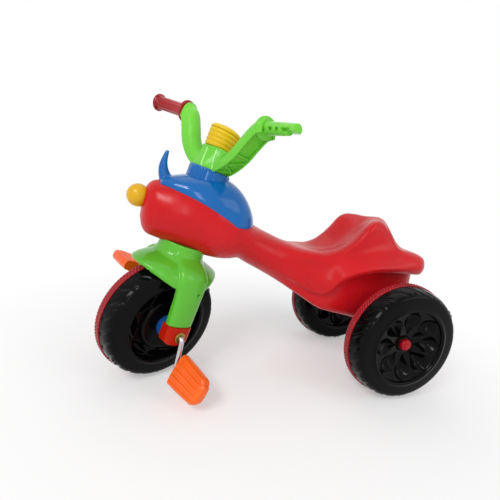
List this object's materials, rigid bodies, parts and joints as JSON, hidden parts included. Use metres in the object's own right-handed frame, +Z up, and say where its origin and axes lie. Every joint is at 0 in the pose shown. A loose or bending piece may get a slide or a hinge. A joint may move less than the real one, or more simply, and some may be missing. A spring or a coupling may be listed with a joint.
{
  "type": "children's tricycle",
  "caption": "Moulded plastic child's pedal tricycle: scooped saddle body, domed head cover, steered fork with fender, ribbed handlebar, split wheels and a bent pedal crank.",
  "frame": {"origin": "middle of the footprint's bounding box, on the floor the wheels stand on", "axes": "+X to the rear, along the body; +Y to the rider's right; +Z up"},
  "size_m": [0.592, 0.3126, 0.4655],
  "materials": {
    "body_red": "moulded, glossy",
    "cover_blue": "moulded, glossy",
    "nose_yellow": "moulded, glossy",
    "bellows_yellow": "soft moulded, satin",
    "steering_green": "moulded, glossy",
    "grip_red": "moulded, satin",
    "trim_red": "moulded, glossy",
    "band_red": "moulded, satin, worn",
    "wheel_black": "blow-moulded, glossy",
    "hub_blue": "moulded, glossy",
    "washer_brass": "plain",
    "crank_chrome": "polished",
    "pedal_orange": "moulded, satin",
    "plain_steel": "plain"
  },
  "bodies": {
    "trike_body": {"body_shell": "body_red", "head_cover": "cover_blue", "nose_ball": "nose_yellow", "rear_axle": "plain_steel", "rear_left_wheel_spacer": "trim_red", "rear_right_wheel_spacer": "trim_red"},
    "steered": {"fork": "steering_green", "steering_column": "plain_steel", "handlebar": "steering_green", "right_grip": "grip_red", "bellows": "bellows_yellow", "left_axle_cap": "trim_red", "right_axle_cap": "trim_red", "left_leg_screw": "plain_steel", "right_leg_screw": "plain_steel"},
    "bellows_top": {"bellows_cap": "bellows_yellow"},
    "front_wheel": {"front_wheel_left_shell": "wheel_black", "front_wheel_right_shell": "wheel_black", "front_wheel_tread_band": "band_red", "front_left_hub_disc": "hub_blue", "front_right_hub_disc": "hub_blue", "left_axle_washer": "washer_brass", "right_axle_washer": "washer_brass", "crank": "crank_chrome"},
    "left_pedal_body": {"left_pedal": "pedal_orange", "left_pedal_cap": "crank_chrome"},
    "right_pedal_body": {"right_pedal": "pedal_orange", "right_pedal_cap": "crank_chrome"},
    "rear_left_wheel": {"rear_left_wheel_outer_shell": "wheel_black", "rear_left_wheel_inner_shell": "wheel_black", "rear_left_wheel_tread_band": "band_red", "rear_left_hub_cap": "trim_red"},
    "rear_right_wheel": {"rear_right_wheel_outer_shell": "wheel_black", "rear_right_wheel_inner_shell": "wheel_black", "rear_right_wheel_tread_band": "band_red", "rear_right_hub_cap": "trim_red"}
  },
  "joints": [
    {"name": "steering", "type": "hinge", "parent": "trike_body", "child": "steered", "pos_m": [-0.20195, 0.00463, 0.10026], "axis": [0.2672, 0, 0.9636], "range_deg": [-71.3, 18.7]},
    {"name": "front_wheel_spin", "type": "hinge", "parent": "steered", "child": "front_wheel", "pos_m": [-0.20195, 0.00463, 0.10026], "axis": [-0.427, 0.8965, 0.1184], "continuous": true},
    {"name": "left_pedal_spin", "type": "hinge", "parent": "front_wheel", "child": "left_pedal_body", "pos_m": [-0.20744, 0.00836, 0.05222], "axis": [-0.427, 0.8965, 0.1184], "continuous": true},
    {"name": "right_pedal_spin", "type": "hinge", "parent": "front_wheel", "child": "right_pedal_body", "pos_m": [-0.19646, 0.0009, 0.1483], "axis": [-0.427, 0.8965, 0.1184], "continuous": true},
    {"name": "rear_left_wheel_spin", "type": "hinge", "parent": "trike_body", "child": "rear_left_wheel", "pos_m": [0.19645, -0.10557, 0.09996], "axis": [0, 1, 0], "continuous": true},
    {"name": "rear_right_wheel_spin", "type": "hinge", "parent": "trike_body", "child": "rear_right_wheel", "pos_m": [0.19645, 0.11483, 0.09996], "axis": [0, 1, 0], "continuous": true},
    {"name": "bellows_squeeze", "type": "slide", "parent": "steered", "child": "bellows_top", "axis": [-0.3849, -0.0617, -0.9209], "range_m": [0, 0.012], "stiffness_N_per_m": 300, "deforming": ["bellows"]}
  ]
}
